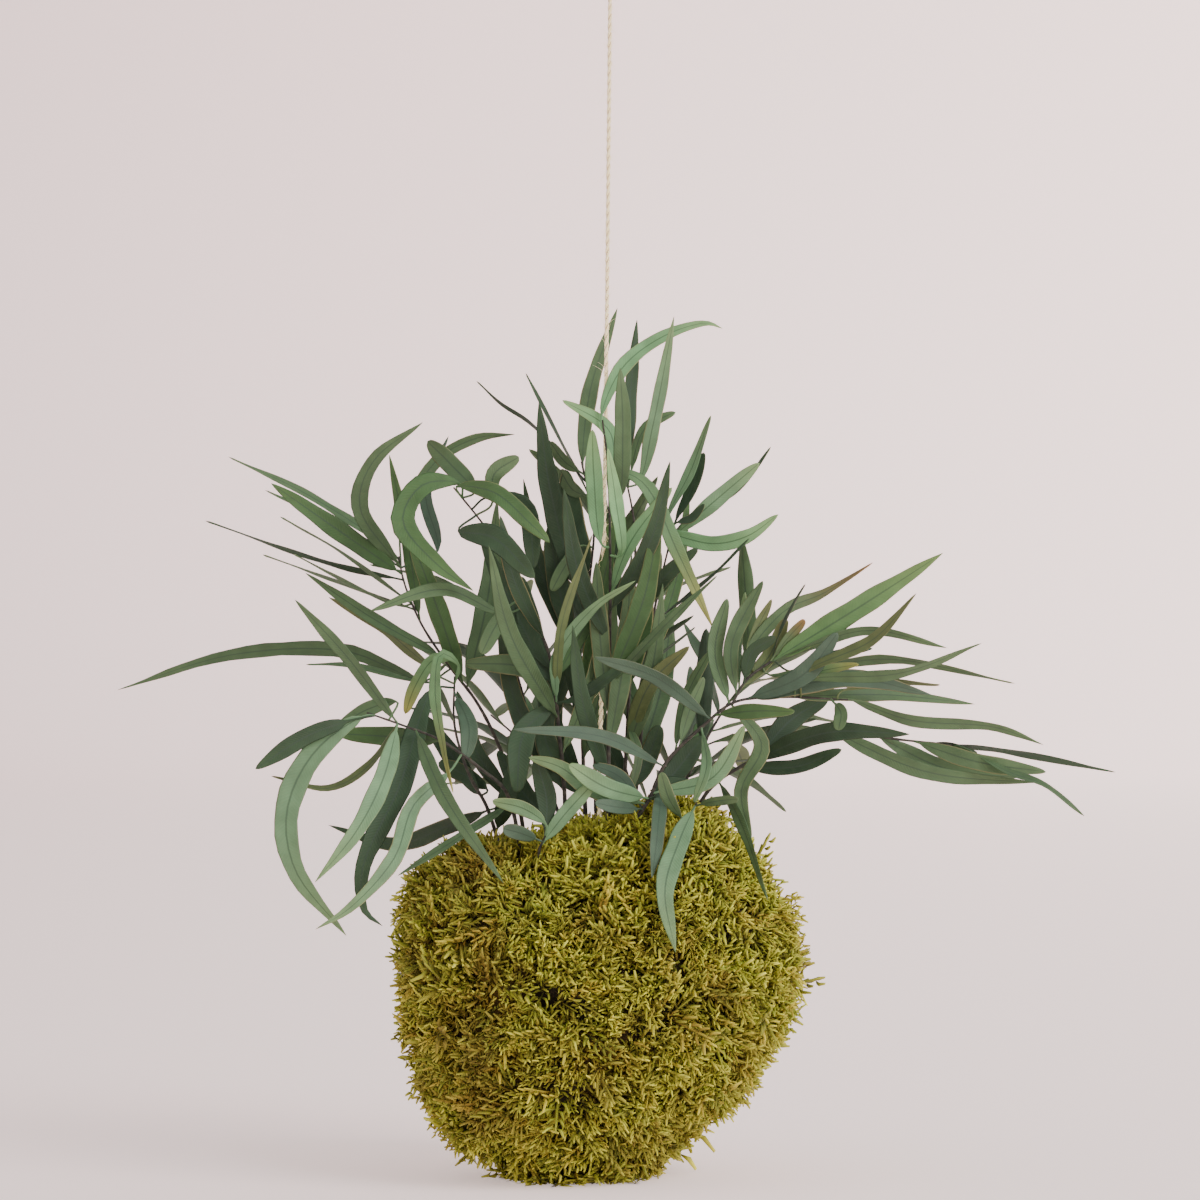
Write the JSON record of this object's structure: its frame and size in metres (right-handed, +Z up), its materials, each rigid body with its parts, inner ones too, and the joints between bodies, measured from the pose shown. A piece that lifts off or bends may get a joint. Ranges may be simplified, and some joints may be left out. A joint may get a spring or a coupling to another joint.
{
  "type": "kokedama moss ball plant",
  "caption": "Soil ball wrapped in sheet moss, planted with loose sprays of long narrow eucalyptus leaves, with a thin jute hanging twine.",
  "frame": {"origin": "on the flat spot that the moss ball rests on, straight below the ball's middle", "axes": "+Z up, +X to the right as the plant is seen from the front, +Y away from the viewer"},
  "size_m": [0.4057, 0.2306, 0.5008],
  "materials": {
    "soil": "rough, matte",
    "moss": "fibrous, matte",
    "leaf": "satin, slightly waxy",
    "twine": "twisted natural fibre"
  },
  "bodies": {
    "root": {"core_ball": "soil", "moss_coat": "moss", "twine": "twine", "twine_loop": "twine", "spray_left_low": "leaf", "spray_left_middle": "leaf", "spray_left_high": "leaf", "spray_left_centre": "leaf", "spray_centre_left": "leaf", "spray_centre_front": "leaf", "spray_centre_right": "leaf", "spray_right_tall": "leaf", "spray_right_main": "leaf", "spray_right_low": "leaf", "spray_front_right": "leaf", "spray_front_low": "leaf", "spray_back_left": "leaf", "spray_back_middle": "leaf", "spray_back_right": "leaf", "spray_back_low_left": "leaf", "spray_back_low_right": "leaf"}
  },
  "joints": []
}
